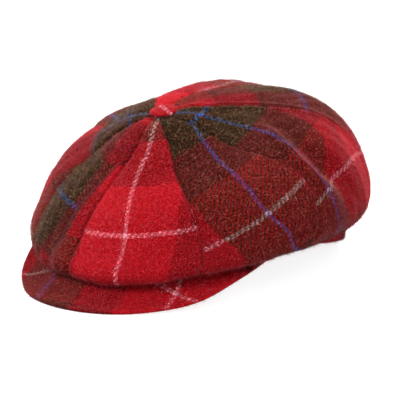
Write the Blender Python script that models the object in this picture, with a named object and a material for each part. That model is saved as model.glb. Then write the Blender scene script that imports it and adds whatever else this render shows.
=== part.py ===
"""Eight-panel flat cap in wool cloth, with a covered button, a peak and a headband.

The cap lies as it would by itself, on the edge of its peak and on the back of its band.
The peak points along -Y, the wearer's left is +X, up is +Z, and sizes are in metres.
"""
import math

import bpy
import numpy as np

# Sizes of the cloth and of the seams
CLOTH_THICKNESS = 0.0016
SEAM_GAP = 0.0003
PANEL_COUNT = 8
PANEL_PUFF = 0.0030
PANEL_TIP_SHARE = 0.018

# Sizes of the headband, which stands on the back of its lower rim
BAND_HALF_WIDTH = 0.0880
BAND_HALF_LENGTH = 0.1080
BAND_BACK_SHIFT = 0.0175
BAND_HEIGHT = 0.0180
BAND_THICKNESS = 0.0026
BAND_FRONT_LIFT = 0.0460
BAND_FRONT_DIP = 0.0140

# Sizes of the crown, which stands out beyond the band and is sewn to the band's outside
CROWN_SIDE_OVERHANG = 0.0230
CROWN_FRONT_OVERHANG = 0.0295
CROWN_BACK_OVERHANG = 0.0085
CROWN_HEIGHT = 0.1200
CROWN_SEAM_LIFT = 0.0110
CROWN_SEAM_GAP = 0.0005
CROWN_HALF_WIDTH = BAND_HALF_WIDTH + CROWN_SIDE_OVERHANG
CROWN_FRONT_REACH = BAND_HALF_LENGTH - BAND_BACK_SHIFT + CROWN_FRONT_OVERHANG
CROWN_BACK_REACH = BAND_HALF_LENGTH + BAND_BACK_SHIFT + CROWN_BACK_OVERHANG

# Sizes of the peak
PEAK_SIDE_OVERHANG = 0.0065
PEAK_LENGTH = 0.0473
PEAK_HALF_WIDTH = BAND_HALF_WIDTH + PEAK_SIDE_OVERHANG
PEAK_REACH = BAND_HALF_LENGTH - BAND_BACK_SHIFT + PEAK_LENGTH
PEAK_THICKNESS = 0.0024
PEAK_SAG = 0.0065
PEAK_HALF_ANGLE = math.radians(72.0)
PEAK_SEAM_GAP = 0.0004
PEAK_SEAM_DROP = 0.0002

# Sizes of the covered button
BUTTON_RADIUS = 0.0115
BUTTON_HEIGHT = 0.0050
BUTTON_FORWARD = 0.0340
BUTTON_SEAT_HEIGHT = 0.1095
BUTTON_TILT = math.radians(22.0)
BUTTON_SEAT_RADIUS = 0.0118
BUTTON_STAND_OFF = 0.0009

# One crown ring to a line: half width, front and back reach, then height in front, at the
# side and behind, all as shares of the crown's sizes
CROWN_RINGS = np.array([
    (0.488, 0.606, 0.331, 0.648, 0.821, 0.988),
    (0.784, 0.800, 0.683, 0.451, 0.732, 0.917),
    (0.994, 0.945, 0.975, 0.249, 0.388, 0.630),
    (0.963, 0.990, 0.998, 0.158, 0.274, 0.215),
    (0.912, 0.958, 0.990, 0.116, 0.243, 0.160),
    (0.868, 0.858, 0.984, 0.218, 0.254, 0.125),
])

# How far each seam runs off its even place, in degrees, one seam to a line from the front
# centre towards the wearer's left, at these shares of the way down the crown
SEAM_SHARES = np.array([0.00, 0.15, 0.30, 0.45, 0.60, 0.80, 1.00])
SEAM_DRIFT = np.radians([
    (0, 4, -2, -4, -4, -4, -4),
    (0, 0, -5, -3, -3, 0, 0),
    (0, -6, -11, -8, -4, -6, -4),
    (0, -7, -5, -6, -7, -6, -4),
    (0, 0, 0, 0, 0, 0, 0),
    (0, 7, 5, 6, 7, 6, 4),
    (0, 6, 9, 7, 4, 6, 4),
    (0, -4, 0, 6, 9, 9, 8),
])

# One point of the peak's free edge to a line, from the middle outwards: across as a share of
# its half width, forward as a share of its reach, and height as a share of its reach
PEAK_EDGE = np.array([
    (0.000, 1.000, 0.0170),
    (0.180, 0.985, 0.0160),
    (0.353, 0.939, 0.0150),
    (0.520, 0.860, 0.0165),
    (0.666, 0.776, 0.0240),
    (0.847, 0.624, 0.0500),
    (0.958, 0.472, 0.1100),
    (1.000, 0.363, 0.1520),
    (0.995, 0.272, 0.1740),
    (0.962, 0.178, 0.1900),
    (0.937, 0.124, 0.2010),
])

# The one deep fold, in the panel on the wearer's left behind the side seam
FOLD_START_ANGLE = math.radians(106.0)
FOLD_END_ANGLE = math.radians(95.0)
FOLD_START_SHARE = 0.22
FOLD_END_SHARE = 0.60
FOLD_RISE = 0.0025
FOLD_DENT = 0.0045
FOLD_RIDGE_WIDTH = 0.0060
FOLD_DENT_WIDTH = 0.0100
FOLD_DENT_OFFSET = 0.0150

PANEL_COLUMNS = 9
PANEL_ROWS = 25
BAND_COLUMNS = 72
PEAK_COLUMNS = 37
PEAK_ROWS = 8
BUTTON_COLUMNS = 32

BAND_TILT = math.atan2(BAND_FRONT_LIFT, 2 * BAND_HALF_LENGTH)
PANEL_ANGLE = 2 * math.pi / PANEL_COUNT
CLOTH_RED = (0.42, 0.035, 0.04)
CLOTH_BROWN = (0.10, 0.05, 0.03)


def unit(vectors):
    """Each vector divided by its own length."""
    return vectors / np.maximum(np.linalg.norm(vectors, axis=-1, keepdims=True), 1e-12)


def heights(front, side, back, angle):
    """A height that is front at angle 0, side at a quarter turn and back at a half turn."""
    mean = (front + back + 2 * side) / 4
    tip = (front - back) / 2
    bend = (front + back - 2 * side) / 4
    return mean + tip * np.cos(angle) + bend * np.cos(2 * angle)


def band_point(angle, grow, lift):
    """A point on the band's oval, grown outwards and lifted square to its tilted rim.

    The rim is flat at the sides and behind, and the peak pulls it down in front.
    """
    across = (BAND_HALF_WIDTH + grow) * np.sin(angle)
    along = BAND_BACK_SHIFT - (BAND_HALF_LENGTH + grow) * np.cos(angle)
    up = (BAND_BACK_SHIFT + BAND_HALF_LENGTH - along) * math.tan(BAND_TILT)
    up = up - BAND_FRONT_DIP * np.maximum(np.cos(angle), 0) ** 2
    y = along + lift * math.sin(BAND_TILT)
    z = up + lift * math.cos(BAND_TILT)
    return np.stack([across, y, z], -1)


def seam_angle(seam, share):
    """The angle round the crown that a seam runs at, with its drift, at each share down it."""
    count = len(share)
    knots = np.broadcast_to(SEAM_SHARES, (count, len(SEAM_SHARES)))
    drift = np.broadcast_to(SEAM_DRIFT[seam % PANEL_COUNT, :, None], knots.shape + (1,))
    return seam * PANEL_ANGLE + natural_spline(knots, drift, share)[:, 0]


def ellipse(wide, front, back, z, angle):
    """A ring of the crown: an ellipse with its own reach in front and behind."""
    y = (back - front) / 2 - (back + front) / 2 * np.cos(angle)
    return np.stack([wide * np.sin(angle), y, z + 0 * angle], -1)


def crown_knots(angle):
    """The points that each line down the crown goes through, from button to band."""
    apex = np.broadcast_to([0.0, -BUTTON_FORWARD, BUTTON_SEAT_HEIGHT], angle.shape + (3,))
    radius = BUTTON_SEAT_RADIUS
    reach = radius * math.cos(BUTTON_TILT)
    drop = radius * math.sin(BUTTON_TILT)
    seat_z = BUTTON_SEAT_HEIGHT - drop * np.cos(angle)
    front = BUTTON_FORWARD + reach
    rings = [apex, ellipse(radius, front, reach - BUTTON_FORWARD, seat_z, angle)]
    for wide, front, back, z_front, z_side, z_back in CROWN_RINGS:
        z = heights(z_front, z_side, z_back, angle) * CROWN_HEIGHT
        rings.append(ellipse(wide * CROWN_HALF_WIDTH, front * CROWN_FRONT_REACH,
                             back * CROWN_BACK_REACH, z, angle))
    stand_off = CROWN_SEAM_GAP + CLOTH_THICKNESS * 1.1 * ((1 - np.cos(angle)) / 2) ** 2
    rings.append(band_point(angle, stand_off, CROWN_SEAM_LIFT))
    return np.stack(rings, 1)


def natural_spline(knots, values, share):
    """Natural cubic spline through each row's values, read at one share for each row."""
    step = np.diff(knots, axis=1)
    slope = np.diff(values, axis=1) / step[..., None]
    count = knots.shape[1]
    matrix = np.zeros(knots.shape + (count,))
    right = np.zeros_like(values)
    matrix[:, 0, 0] = 1
    matrix[:, -1, -1] = 1
    for k in range(1, count - 1):
        matrix[:, k, k - 1] = step[:, k - 1]
        matrix[:, k, k] = 2 * (step[:, k - 1] + step[:, k])
        matrix[:, k, k + 1] = step[:, k]
        right[:, k] = 6 * (slope[:, k] - slope[:, k - 1])
    second = np.linalg.solve(matrix, right)
    span = (share[:, None] >= knots[:, 1:-1]).sum(-1)
    row = np.arange(len(share))
    width = step[row, span][:, None]
    b = (share - knots[row, span])[:, None] / width
    a = 1 - b
    line = a * values[row, span] + b * values[row, span + 1]
    bend = (a ** 3 - a) * second[row, span] + (b ** 3 - b) * second[row, span + 1]
    return line + bend * width ** 2 / 6


def spline(points, share):
    """The natural spline through each row of points, spaced by the chords between them."""
    chord = np.linalg.norm(np.diff(points, axis=1), axis=-1)
    knots = np.concatenate([np.zeros_like(chord[:, :1]), np.cumsum(chord, axis=1)], 1)
    return natural_spline(knots / knots[:, -1:], points, share)


def base_crown(angle, share):
    """The crown's smooth form before puff and fold, at matching grids of angle and share."""
    points = spline(crown_knots(angle.ravel()), share.ravel())
    return points.reshape(angle.shape + (3,))


def grid_normals(function, across, down):
    """Outward normals of a surface function of two grids, from small steps either way."""
    step = 1e-3
    low = np.maximum(down - step, 0.0)
    high = np.minimum(down + step, 1.0)
    along = function(across, high) - function(across, low)
    round_it = function(across + step, down) - function(across - step, down)
    return unit(np.cross(along, round_it))


def fold_height(angle, share, radius):
    """The long fold: a ridge with a dent behind it, both fading out at their two ends."""
    along = (share - FOLD_START_SHARE) / (FOLD_END_SHARE - FOLD_START_SHARE)
    middle = FOLD_START_ANGLE + (FOLD_END_ANGLE - FOLD_START_ANGLE) * along
    fade = np.exp(-(2 * np.abs(along - 0.5)) ** 4)
    distance = (angle - middle) * radius
    ridge = FOLD_RISE * np.exp(-(distance / FOLD_RIDGE_WIDTH) ** 2)
    dent = FOLD_DENT * np.exp(-((distance - FOLD_DENT_OFFSET) / FOLD_DENT_WIDTH) ** 2)
    return (ridge - dent) * fade


def crown(panel, part, share):
    """The outside of one panel, at grids of the part across it and the share down it."""
    left = seam_angle(panel, share.ravel()).reshape(share.shape)
    right = seam_angle(panel + 1, share.ravel()).reshape(share.shape)
    angle = left + (right - left) * part
    base = base_crown(angle, share)
    normal = grid_normals(base_crown, angle, share)
    rise = 4 * part * (1 - part) - 0.5
    fullness = np.sin(math.pi * np.clip(share, 0, 1)) ** 1.2
    radius = np.hypot(base[..., 0], base[..., 1] + BUTTON_FORWARD)
    fold = fold_height(angle, share, np.maximum(radius, BUTTON_SEAT_RADIUS))
    return base + normal * (PANEL_PUFF * fullness * rise + fold)[..., None]


def make_object(name, points, faces, material):
    """A named solid from points and faces, with one material and triangles only."""
    mesh = bpy.data.meshes.new(name)
    mesh.from_pydata([tuple(p) for p in points], [], [tuple(f) for f in faces])
    mesh.validate()
    mesh.materials.append(material)
    thing = bpy.data.objects.new(name, mesh)
    bpy.context.collection.objects.link(thing)
    return thing


def shell_faces(rows, columns):
    """Triangles of a closed slab made of an outer grid and an inner grid of points."""
    faces = []
    inner = rows * columns

    def quad(a, b, c, d):
        faces.extend([(a, b, c), (a, c, d)])

    for i in range(rows - 1):
        for j in range(columns - 1):
            a = i * columns + j
            b = a + 1
            c = b + columns
            d = a + columns
            quad(a, d, c, b)
            quad(inner + a, inner + b, inner + c, inner + d)
    for i in range(rows - 1):
        first = i * columns
        last = first + columns - 1
        quad(first, inner + first, inner + first + columns, first + columns)
        quad(last, last + columns, inner + last + columns, inner + last)
    for j in range(columns - 1):
        top = j
        bottom = (rows - 1) * columns + j
        quad(top, top + 1, inner + top + 1, inner + top)
        quad(bottom, inner + bottom, inner + bottom + 1, bottom + 1)
    return faces


def make_slab(name, outer, inner, material):
    """A closed slab between two grids of points of the same size."""
    rows, columns = outer.shape[:2]
    points = np.concatenate([outer.reshape(-1, 3), inner.reshape(-1, 3)])
    return make_object(name, points, shell_faces(rows, columns), material)


def make_panel(panel, material):
    """One of the crown's panels, a wedge of cloth from the button down to the band."""
    share = PANEL_TIP_SHARE + (1 - PANEL_TIP_SHARE) * np.linspace(0, 1, PANEL_ROWS)
    part, share = np.meshgrid(np.linspace(0, 1, PANEL_COLUMNS), share)

    def surface(parts, shares):
        return crown(panel, parts, shares)

    outer = surface(part, share)
    normal = grid_normals(surface, part, share)
    inner = outer - CLOTH_THICKNESS * normal
    for side, inward in ((0, 1), (-1, -2)):
        shift = unit(outer[:, inward] - outer[:, side]) * SEAM_GAP / 2
        outer[:, side] += shift
        inner[:, side] += shift
    return make_slab(f"crown_panel_{panel + 1}", outer, inner, material)


def make_band(material):
    """The headband: an oval strip, flat on its lower rim, closed on itself."""
    angle = np.linspace(0, 2 * math.pi, BAND_COLUMNS, endpoint=False)
    corners = [(0.0, 0.0), (0.0, BAND_HEIGHT),
               (-BAND_THICKNESS, BAND_HEIGHT), (-BAND_THICKNESS, 0.0)]
    loops = [band_point(angle, grow, lift) for grow, lift in corners]
    points = np.concatenate(loops)
    faces = []
    for k in range(4):
        for j in range(BAND_COLUMNS):
            n = (j + 1) % BAND_COLUMNS
            a = k * BAND_COLUMNS + j
            b = k * BAND_COLUMNS + n
            c = (k + 1) % 4 * BAND_COLUMNS + n
            d = (k + 1) % 4 * BAND_COLUMNS + j
            faces.extend([(a, b, c), (a, c, d)])
    return make_object("headband", points, faces, material)


def peak_edge(share):
    """The peak's free edge, from the wearer's right end (-1) to the left end (+1)."""
    half = PEAK_EDGE * np.array([PEAK_HALF_WIDTH, -PEAK_REACH, PEAK_REACH])
    mirrored = half[:0:-1] * np.array([-1, 1, 1])
    whole = np.concatenate([mirrored, half])
    rows = np.broadcast_to(whole, share.shape + whole.shape)
    return spline(rows, (share + 1) / 2)


def peak_top(share, out):
    """The top of the peak: straight lines from band to free edge, sagging in between."""
    near = band_point(share * PEAK_HALF_ANGLE, PEAK_SEAM_GAP, -PEAK_SEAM_DROP)
    far = peak_edge(share)
    mix = out[:, None, None]
    sag = PEAK_SAG * 4 * out * (1 - out)
    surface = near[None] * (1 - mix) + far[None] * mix
    surface[..., 2] -= sag[:, None] * (1 - share[None, :] ** 2)
    return surface


def make_peak(material):
    """The peak: a stiff cloth-covered board, bent round the front of the band."""
    share = np.sin(np.linspace(-math.pi / 2, math.pi / 2, PEAK_COLUMNS) * 0.92)
    share = share / share[-1]
    out = np.linspace(0, 1, PEAK_ROWS)
    top = peak_top(share, out)
    normal = unit(np.cross(np.gradient(top, axis=0), np.gradient(top, axis=1)))
    return make_slab("peak", top, top - PEAK_THICKNESS * normal, material)


def make_button(material):
    """The covered button: a low dome with a flat back, tipped forward with the cloth."""
    profile = [(0.0, 1.0), (0.45, 0.94), (0.75, 0.76), (0.94, 0.48), (1.0, 0.24), (0.93, 0.0)]
    angle = np.linspace(0, 2 * math.pi, BUTTON_COLUMNS, endpoint=False)
    points = [(0.0, 0.0, BUTTON_HEIGHT)]
    for radius, up in profile[1:]:
        for a in angle:
            points.append((radius * BUTTON_RADIUS * math.sin(a),
                           -radius * BUTTON_RADIUS * math.cos(a), up * BUTTON_HEIGHT))
    points.append((0.0, 0.0, 0.0))
    last = len(points) - 1
    faces = []
    for j in range(BUTTON_COLUMNS):
        n = (j + 1) % BUTTON_COLUMNS
        faces.append((0, 1 + j, 1 + n))
        for k in range(len(profile) - 2):
            a = 1 + k * BUTTON_COLUMNS + j
            b = 1 + k * BUTTON_COLUMNS + n
            faces.extend([(a, a + BUTTON_COLUMNS, b + BUTTON_COLUMNS), (a, b + BUTTON_COLUMNS, b)])
        rim = 1 + (len(profile) - 2) * BUTTON_COLUMNS
        faces.append((last, rim + n, rim + j))
    local = np.array(points)
    back = np.array([0.0, math.cos(BUTTON_TILT), math.sin(BUTTON_TILT)])
    up = np.array([0.0, -math.sin(BUTTON_TILT), math.cos(BUTTON_TILT)])
    seat = np.array([0.0, -BUTTON_FORWARD, BUTTON_SEAT_HEIGHT]) + up * BUTTON_STAND_OFF
    side = np.array([1.0, 0.0, 0.0])
    world = seat + local[:, :1] * side + local[:, 1:2] * back + local[:, 2:] * up
    return make_object("button", world, faces, material)


def make_material(name, colour):
    """A plain matt cloth material."""
    material = bpy.data.materials.new(name)
    material.use_nodes = True
    shader = material.node_tree.nodes["Principled BSDF"]
    shader.inputs["Base Color"].default_value = colour + (1.0,)
    shader.inputs["Roughness"].default_value = 0.9
    return material


def stand_on_origin(things):
    """Moves every solid so that the origin is the bottom centre of the box round them all."""
    corners = []
    for thing in things:
        flat = np.empty(len(thing.data.vertices) * 3)
        thing.data.vertices.foreach_get("co", flat)
        corners.append(flat.reshape(-1, 3))
    everything = np.concatenate(corners)
    low = everything.min(0)
    high = everything.max(0)
    shift = np.array([(low[0] + high[0]) / 2, (low[1] + high[1]) / 2, low[2]])
    for thing, points in zip(things, corners):
        thing.data.vertices.foreach_set("co", (points - shift).ravel())
        thing.data.update()
    print("moved by", np.round(shift * 1000, 3), "mm; size", np.round((high - low) * 1000, 2), "mm")


def main():
    for thing in list(bpy.data.objects):
        bpy.data.objects.remove(thing, do_unlink=True)
    panels = make_material("panel_cloth", CLOTH_RED)
    band = make_material("band_cloth", CLOTH_RED)
    peak = make_material("peak_cloth", CLOTH_BROWN)
    button = make_material("button_cloth", CLOTH_RED)
    things = [make_panel(k, panels) for k in range(PANEL_COUNT)]
    things += [make_band(band), make_peak(peak), make_button(button)]
    stand_on_origin(things)


main()
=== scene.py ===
# %% [markdown]
# # A panelled flat cap in checked wool
# The cap is sewn from eight wedges of one checked twill cloth. They meet at a covered button, and
# are gathered on to a headband with a short stiff peak in front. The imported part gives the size
# and the place of everything, so it is loaded first and every piece is built around it.

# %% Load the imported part
import math
import bpy
import numpy as np
from mathutils import Matrix, Vector


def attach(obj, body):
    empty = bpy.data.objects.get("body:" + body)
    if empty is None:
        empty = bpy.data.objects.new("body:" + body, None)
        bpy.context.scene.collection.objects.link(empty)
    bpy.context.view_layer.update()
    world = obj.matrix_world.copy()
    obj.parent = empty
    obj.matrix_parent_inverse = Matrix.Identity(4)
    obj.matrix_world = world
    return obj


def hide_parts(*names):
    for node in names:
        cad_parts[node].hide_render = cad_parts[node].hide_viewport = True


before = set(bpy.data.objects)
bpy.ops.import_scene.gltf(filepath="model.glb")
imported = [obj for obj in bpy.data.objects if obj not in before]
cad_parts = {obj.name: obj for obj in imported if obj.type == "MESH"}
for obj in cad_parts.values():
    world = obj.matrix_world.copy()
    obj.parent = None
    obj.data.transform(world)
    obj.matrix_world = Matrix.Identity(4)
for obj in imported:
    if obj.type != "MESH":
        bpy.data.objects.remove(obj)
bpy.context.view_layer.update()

MM = 0.001
print("nodes", sorted(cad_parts))

# %% [markdown]
# ## The camera
# The photograph was taken from the cap's front left, a little above it, with a long lens. A
# camera can be placed by hand, but here its angles were found by matching the cap's outline, and
# its three axes are worked out from them. It then turns a little aside, to the middle of the
# photograph's frame.

# %% Camera
VIEW_AZIMUTH = math.radians(40.16)
VIEW_ELEVATION = math.radians(13.99)
VIEW_ROLL = math.radians(-0.64)
VIEW_DISTANCE = 1.30
VIEW_POINT = Vector((0.0, 1.4 * MM, 60.3 * MM))
AIM_RIGHT = 5.55 * MM
AIM_DOWN = 16.1 * MM


def camera_axes():
    """Right, up and back of the camera: back leans up by the elevation, then all roll."""
    back = Vector((math.sin(VIEW_AZIMUTH) * math.cos(VIEW_ELEVATION),
                   -math.cos(VIEW_AZIMUTH) * math.cos(VIEW_ELEVATION), math.sin(VIEW_ELEVATION)))
    right = Vector((math.cos(VIEW_AZIMUTH), math.sin(VIEW_AZIMUTH), 0.0))
    up = back.cross(right)
    turned = right * math.cos(VIEW_ROLL) + up * math.sin(VIEW_ROLL)
    return turned, back.cross(turned), back


right, up, back = camera_axes()
place = VIEW_POINT + back * VIEW_DISTANCE
target = VIEW_POINT + right * AIM_RIGHT - up * AIM_DOWN
back = (place - target).normalized()
right = (right - back * right.dot(back)).normalized()
up = back.cross(right)
lens = bpy.data.cameras.new("camera")
lens.sensor_width = 36.0
lens.lens = 169.65
lens.clip_end = 50.0
camera = bpy.data.objects.new("camera", lens)
turn = Matrix((right, up, back)).transposed().to_4x4()
camera.matrix_world = Matrix.Translation(place) @ turn
bpy.context.collection.objects.link(camera)
bpy.context.scene.camera = camera
print("camera at", [round(c, 3) for c in place])

# %% [markdown]
# ## Floor and light
# The cap lies on a plain white floor in soft studio light. In the photograph the ground stays pure
# white right up to the cloth, and light comes up from it under the cap's edge, as from a light
# table, so the floor glows a little by itself. Four square lamps do the rest. The key lamp stands
# high in front of the peak, a fill lamp to the right of the camera keeps the near side readable,
# a low lamp lights the end to the left of the picture, and a strong one behind and above makes
# the wool's nap glow along the upper edge. A dim white world lifts what is left.

# %% Floor, world and lamps
WORLD_LIGHT = 0.22
TABLE_GLOW = 0.87
WHITE = (1.0, 1.0, 1.0, 1.0)
LAMP_AIM_HEIGHT = 50.0 * MM
scene = bpy.context.scene
scene.view_settings.view_transform = "Standard"
world = bpy.data.worlds.new("studio")
world.use_nodes = True
world.node_tree.nodes["Background"].inputs["Color"].default_value = WHITE
world.node_tree.nodes["Background"].inputs["Strength"].default_value = WORLD_LIGHT
scene.world = world


def add_lamp(name, azimuth, elevation, distance, size, power):
    """A square lamp facing the cap's middle: its direction from there is the sine and cosine of
    its angle round the cap, 0 in front of the peak, times the cosine of its angle above it.
    """
    data = bpy.data.lights.new(name, "AREA")
    data.size = size
    data.energy = power
    lamp = bpy.data.objects.new(name, data)
    a = math.radians(azimuth)
    e = math.radians(elevation)
    away = Vector((math.sin(a) * math.cos(e), -math.cos(a) * math.cos(e), math.sin(e)))
    lamp.location = away * distance + Vector((0, 0, LAMP_AIM_HEIGHT))
    lamp.rotation_euler = away.to_track_quat("Z", "Y").to_euler()
    bpy.context.collection.objects.link(lamp)
    return lamp


add_lamp("key lamp", 4, 50, 1.6, 0.9, 31)
add_lamp("front fill lamp", 64, 34, 1.8, 0.8, 19)
add_lamp("left lamp", 285, 20, 1.7, 1.0, 50)
add_lamp("back lamp", 195, 58, 1.7, 1.0, 100)

FLOOR_REACH = 8.0
floor_mesh = bpy.data.meshes.new("floor")
floor_mesh.from_pydata([(-FLOOR_REACH, -FLOOR_REACH, 0), (FLOOR_REACH, -FLOOR_REACH, 0),
                        (FLOOR_REACH, FLOOR_REACH, 0), (-FLOOR_REACH, FLOOR_REACH, 0)],
                       [], [(0, 1, 2, 3)])
floor = bpy.data.objects.new("floor", floor_mesh)
bpy.context.collection.objects.link(floor)
floor_paint = bpy.data.materials.new("white_floor")
floor_paint.use_nodes = True
floor_shader = floor_paint.node_tree.nodes["Principled BSDF"]
floor_shader.inputs["Base Color"].default_value = (0.30, 0.30, 0.30, 1.0)
floor_shader.inputs["Roughness"].default_value = 0.9
floor_shader.inputs["Emission Color"].default_value = WHITE
floor_shader.inputs["Emission Strength"].default_value = TABLE_GLOW
floor_mesh.materials.append(floor_paint)

# %% [markdown]
# ## The size of the cap
# These are the part's own sizes, so that every cloth piece lies where its solid lies. The crown
# is a stack of ovals from the button down to the band, and the seams wander a little, as they
# do on a cap that has been worn and steamed. A row of the first table is one oval: its half
# width, its reach in front and behind, and its height in front, at the sides and behind, each
# as a share of the crown's own size. A row of the second table is one seam: how many degrees
# it has drifted at each share of its way down.

# %% Sizes
PANEL_COUNT = 8
PANEL_ANGLE = 2 * math.pi / PANEL_COUNT
PANEL_PUFF = 3.0 * MM
PANEL_TIP_SHARE = 0.018
CLOTH_THICKNESS = 1.6 * MM
BAND_HALF_WIDTH = 88.0 * MM
BAND_HALF_LENGTH = 108.0 * MM
BAND_BACK_SHIFT = 17.5 * MM
BAND_HEIGHT = 18.0 * MM
BAND_THICKNESS = 2.6 * MM
BAND_FRONT_LIFT = 46.0 * MM
BAND_FRONT_DIP = 14.0 * MM
BAND_TILT = math.atan2(BAND_FRONT_LIFT, 2 * BAND_HALF_LENGTH)
CROWN_HALF_WIDTH = 111.0 * MM
CROWN_FRONT_REACH = 120.0 * MM
CROWN_BACK_REACH = 134.0 * MM
CROWN_HEIGHT = 120.0 * MM
CROWN_SEAM_LIFT = 11.0 * MM
CROWN_SEAM_GAP = 0.5 * MM
BUTTON_FORWARD = 34.0 * MM
BUTTON_SEAT_HEIGHT = 109.5 * MM
BUTTON_TILT = math.radians(22.0)
BUTTON_SEAT_RADIUS = 11.8 * MM
CAD_SHIFT = np.array([0.0, 1.359, 0.279]) * MM

CROWN_RINGS = np.array([
    (0.488, 0.606, 0.331, 0.648, 0.821, 0.988),
    (0.784, 0.800, 0.683, 0.451, 0.732, 0.917),
    (0.994, 0.945, 0.975, 0.249, 0.388, 0.630),
    (0.963, 0.990, 0.998, 0.158, 0.274, 0.215),
    (0.912, 0.958, 0.990, 0.116, 0.243, 0.160),
    (0.868, 0.858, 0.984, 0.218, 0.254, 0.125),
])
SEAM_SHARES = np.array([0.00, 0.15, 0.30, 0.45, 0.60, 0.80, 1.00])
SEAM_DRIFT = np.radians([
    (0, 4, -2, -4, -4, -4, -4),
    (0, 0, -5, -3, -3, 0, 0),
    (0, -6, -11, -8, -4, -6, -4),
    (0, -7, -5, -6, -7, -6, -4),
    (0, 0, 0, 0, 0, 0, 0),
    (0, 7, 5, 6, 7, 6, 4),
    (0, 6, 9, 7, 4, 6, 4),
    (0, -4, 0, 6, 9, 9, 8),
])
print("crown", 2 * CROWN_HALF_WIDTH / MM, "mm wide and", CROWN_HEIGHT / MM, "mm high")

# %% [markdown]
# ## Curves through the ovals
# A cap's cloth bends smoothly, so each line from button to band is a natural cubic spline
# through one point of every oval. A lofted curve object could do this too, but a formula on whole
# arrays gives the surface at any point, and its normal with it.

# %% Spline and crown surface


def unit(vectors):
    """Each vector divided by its own length."""
    return vectors / np.maximum(np.linalg.norm(vectors, axis=-1, keepdims=True), 1e-12)


def natural_spline(knots, values, share):
    """Cubic pieces whose second slopes solve the usual banded system, read at one share a row."""
    step = np.diff(knots, axis=1)
    slope = np.diff(values, axis=1) / step[..., None]
    count = knots.shape[1]
    matrix = np.zeros(knots.shape + (count,))
    known = np.zeros_like(values)
    matrix[:, 0, 0] = 1
    matrix[:, -1, -1] = 1
    for k in range(1, count - 1):
        matrix[:, k, k - 1] = step[:, k - 1]
        matrix[:, k, k] = 2 * (step[:, k - 1] + step[:, k])
        matrix[:, k, k + 1] = step[:, k]
        known[:, k] = 6 * (slope[:, k] - slope[:, k - 1])
    second = np.linalg.solve(matrix, known)
    span = (share[:, None] >= knots[:, 1:-1]).sum(-1)
    row = np.arange(len(share))
    width = step[row, span][:, None]
    b = (share - knots[row, span])[:, None] / width
    a = 1 - b
    line = a * values[row, span] + b * values[row, span + 1]
    bend = (a ** 3 - a) * second[row, span] + (b ** 3 - b) * second[row, span + 1]
    return line + bend * width ** 2 / 6


def chord_spline(points, share):
    """The same spline through points, with its knots spaced by the chords between them."""
    chord = np.linalg.norm(np.diff(points, axis=1), axis=-1)
    knots = np.concatenate([np.zeros_like(chord[:, :1]), np.cumsum(chord, axis=1)], 1)
    return natural_spline(knots / knots[:, -1:], points, share)


def curve_through(table, at):
    """A smooth curve through a table of (place, value) rows, read at many places."""
    table = np.array(table, float)
    at = np.clip(np.asarray(at, float), table[0, 0], table[-1, 0])
    knots = np.broadcast_to(table[:, 0], (at.size, len(table)))
    values = np.broadcast_to(table[:, 1, None], knots.shape + (1,))
    return natural_spline(knots, values, at.ravel())[:, 0].reshape(at.shape)


def band_point(angle, grow, lift):
    """The band's oval (x = sin, y = -cos), tilted back, dipping in front by cos squared."""
    across = (BAND_HALF_WIDTH + grow) * np.sin(angle)
    along = BAND_BACK_SHIFT - (BAND_HALF_LENGTH + grow) * np.cos(angle)
    height = (BAND_BACK_SHIFT + BAND_HALF_LENGTH - along) * math.tan(BAND_TILT)
    height = height - BAND_FRONT_DIP * np.maximum(np.cos(angle), 0) ** 2
    y = along + lift * math.sin(BAND_TILT)
    z = height + lift * math.cos(BAND_TILT)
    return np.stack([across + 0 * z, y + 0 * z, z], -1)


def heights(front, side, behind, angle):
    """A height that is front at angle 0, side at a quarter turn and behind at a half turn."""
    mean = (front + behind + 2 * side) / 4
    return (mean + (front - behind) / 2 * np.cos(angle)
            + (front + behind - 2 * side) / 4 * np.cos(2 * angle))


def oval(wide, front, behind, z, angle):
    """An ellipse with its own reach in front and behind, at height z."""
    y = (behind - front) / 2 - (behind + front) / 2 * np.cos(angle)
    return np.stack([wide * np.sin(angle), y, z + 0 * angle], -1)


def crown_knots(angle):
    """The points each line goes through: the button's middle, its rim, the ovals, the band."""
    middle = np.broadcast_to([0.0, -BUTTON_FORWARD, BUTTON_SEAT_HEIGHT], angle.shape + (3,))
    reach = BUTTON_SEAT_RADIUS * math.cos(BUTTON_TILT)
    drop = BUTTON_SEAT_RADIUS * math.sin(BUTTON_TILT)
    rim_z = BUTTON_SEAT_HEIGHT - drop * np.cos(angle)
    rings = [middle, oval(BUTTON_SEAT_RADIUS, BUTTON_FORWARD + reach,
                          reach - BUTTON_FORWARD, rim_z, angle)]
    for wide, front, behind, z_front, z_side, z_behind in CROWN_RINGS:
        z = heights(z_front, z_side, z_behind, angle) * CROWN_HEIGHT
        rings.append(oval(wide * CROWN_HALF_WIDTH, front * CROWN_FRONT_REACH,
                          behind * CROWN_BACK_REACH, z, angle))
    stand_off = CROWN_SEAM_GAP + CLOTH_THICKNESS * 1.1 * ((1 - np.cos(angle)) / 2) ** 2
    rings.append(band_point(angle, stand_off, CROWN_SEAM_LIFT))
    return np.stack(rings, 1)


def base_crown(angle, share):
    """The crown's smooth form, at matching grids of angle round it and share down it."""
    points = chord_spline(crown_knots(angle.ravel()), share.ravel())
    return points.reshape(angle.shape + (3,))


def grid_normals(points):
    """Outward normals of a grid of points: down crossed with across, by differences."""
    return unit(np.cross(np.gradient(points, axis=0), np.gradient(points, axis=1)))


def seam_angle(seam, share):
    """The angle a seam runs at: its even place and its drift at that share of the way down."""
    table = np.stack([SEAM_SHARES, SEAM_DRIFT[seam % PANEL_COUNT]], -1)
    return seam * PANEL_ANGLE + curve_through(table, share)


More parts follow.
